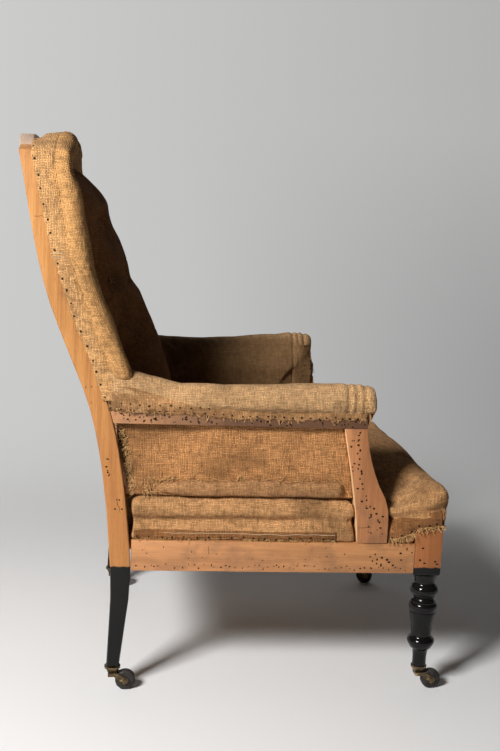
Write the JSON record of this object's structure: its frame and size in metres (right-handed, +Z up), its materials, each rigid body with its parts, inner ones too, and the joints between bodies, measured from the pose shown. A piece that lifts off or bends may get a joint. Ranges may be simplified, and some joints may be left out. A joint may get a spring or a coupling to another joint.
{
  "type": "armchair",
  "caption": "Old open-frame armchair stripped to its hessian: arched buttoned back, padded arms, sprung seat, ebonised legs on swivel casters.",
  "frame": {"origin": "centre of the bounding box on the floor", "axes": "+X toward the front of the seat, +Y toward the sitter's left, +Z up"},
  "size_m": [0.8102, 0.6242, 1.017],
  "materials": {
    "beech": "bare aged beech with tack holes, scratches and dirt",
    "ebonised_beech": "bare beech above, worn ebonised gloss on the leg below the seat rail",
    "hessian": "coarse open jute weave, stained and frayed",
    "webbing": "plain woven jute webbing",
    "spring_steel": "dull coil spring wire",
    "brass": "tarnished brass with rubbed edges",
    "caster_black": "black turned wood, worn"
  },
  "bodies": {
    "frame": {"arm_pad_left": "hessian", "arm_pad_right": "hessian", "arm_panel_left": "hessian", "arm_panel_right": "hessian", "arm_rail_left": "beech", "arm_rail_right": "beech", "arm_support_left": "beech", "arm_support_right": "beech", "arm_tack_rail_left": "beech", "arm_tack_rail_right": "beech", "back_edge_roll": "hessian", "back_pad": "hessian", "back_webbing": "webbing", "brace_front_left": "beech", "brace_front_right": "beech", "brace_rear_left": "beech", "brace_rear_right": "beech", "caster_socket_front_left": "brass", "caster_socket_front_right": "brass", "caster_socket_rear_left": "brass", "caster_socket_rear_right": "brass", "front_leg_left": "ebonised_beech", "front_leg_right": "ebonised_beech", "front_seat_rail": "beech", "lower_back_rail": "beech", "rear_post_left": "ebonised_beech", "rear_post_right": "ebonised_beech", "rear_seat_rail": "beech", "seat_pad": "hessian", "seat_webbing": "webbing", "side_seat_rail_left": "beech", "side_seat_rail_right": "beech", "spring_front_centre": "spring_steel", "spring_front_left": "spring_steel", "spring_front_right": "spring_steel", "spring_middle_centre": "spring_steel", "spring_middle_left": "spring_steel", "spring_middle_right": "spring_steel", "spring_rear_centre": "spring_steel", "spring_rear_left": "spring_steel", "spring_rear_right": "spring_steel", "top_rail": "beech"},
    "swivel_front_right": {"caster_horn_front_right": "brass", "caster_axle_front_right": "brass"},
    "wheel_front_right": {"caster_wheel_front_right": "caster_black"},
    "swivel_front_left": {"caster_horn_front_left": "brass", "caster_axle_front_left": "brass"},
    "wheel_front_left": {"caster_wheel_front_left": "caster_black"},
    "swivel_rear_right": {"caster_horn_rear_right": "brass", "caster_axle_rear_right": "brass"},
    "wheel_rear_right": {"caster_wheel_rear_right": "caster_black"},
    "swivel_rear_left": {"caster_horn_rear_left": "brass", "caster_axle_rear_left": "brass"},
    "wheel_rear_left": {"caster_wheel_rear_left": "caster_black"}
  },
  "joints": [
    {"name": "swivel_front_right_turn", "type": "hinge", "parent": "frame", "child": "swivel_front_right", "pos_m": [0.36271, -0.279, 0.0365], "axis": [0, 0, 1], "continuous": true},
    {"name": "wheel_front_right_spin", "type": "hinge", "parent": "swivel_front_right", "child": "wheel_front_right", "pos_m": [0.38671, -0.279, 0.01834], "axis": [0, 1, 0], "continuous": true},
    {"name": "swivel_front_left_turn", "type": "hinge", "parent": "frame", "child": "swivel_front_left", "pos_m": [0.36271, 0.279, 0.0365], "axis": [0, 0, 1], "continuous": true},
    {"name": "wheel_front_left_spin", "type": "hinge", "parent": "swivel_front_left", "child": "wheel_front_left", "pos_m": [0.38671, 0.279, 0.01834], "axis": [0, 1, 0], "continuous": true},
    {"name": "swivel_rear_right_turn", "type": "hinge", "parent": "frame", "child": "swivel_rear_right", "pos_m": [-0.21609, -0.264, 0.0365], "axis": [0, 0, 1], "continuous": true},
    {"name": "wheel_rear_right_spin", "type": "hinge", "parent": "swivel_rear_right", "child": "wheel_rear_right", "pos_m": [-0.19209, -0.264, 0.01834], "axis": [0, 1, 0], "continuous": true},
    {"name": "swivel_rear_left_turn", "type": "hinge", "parent": "frame", "child": "swivel_rear_left", "pos_m": [-0.21609, 0.264, 0.0365], "axis": [0, 0, 1], "continuous": true},
    {"name": "wheel_rear_left_spin", "type": "hinge", "parent": "swivel_rear_left", "child": "wheel_rear_left", "pos_m": [-0.19209, 0.264, 0.01834], "axis": [0, 1, 0], "continuous": true}
  ]
}
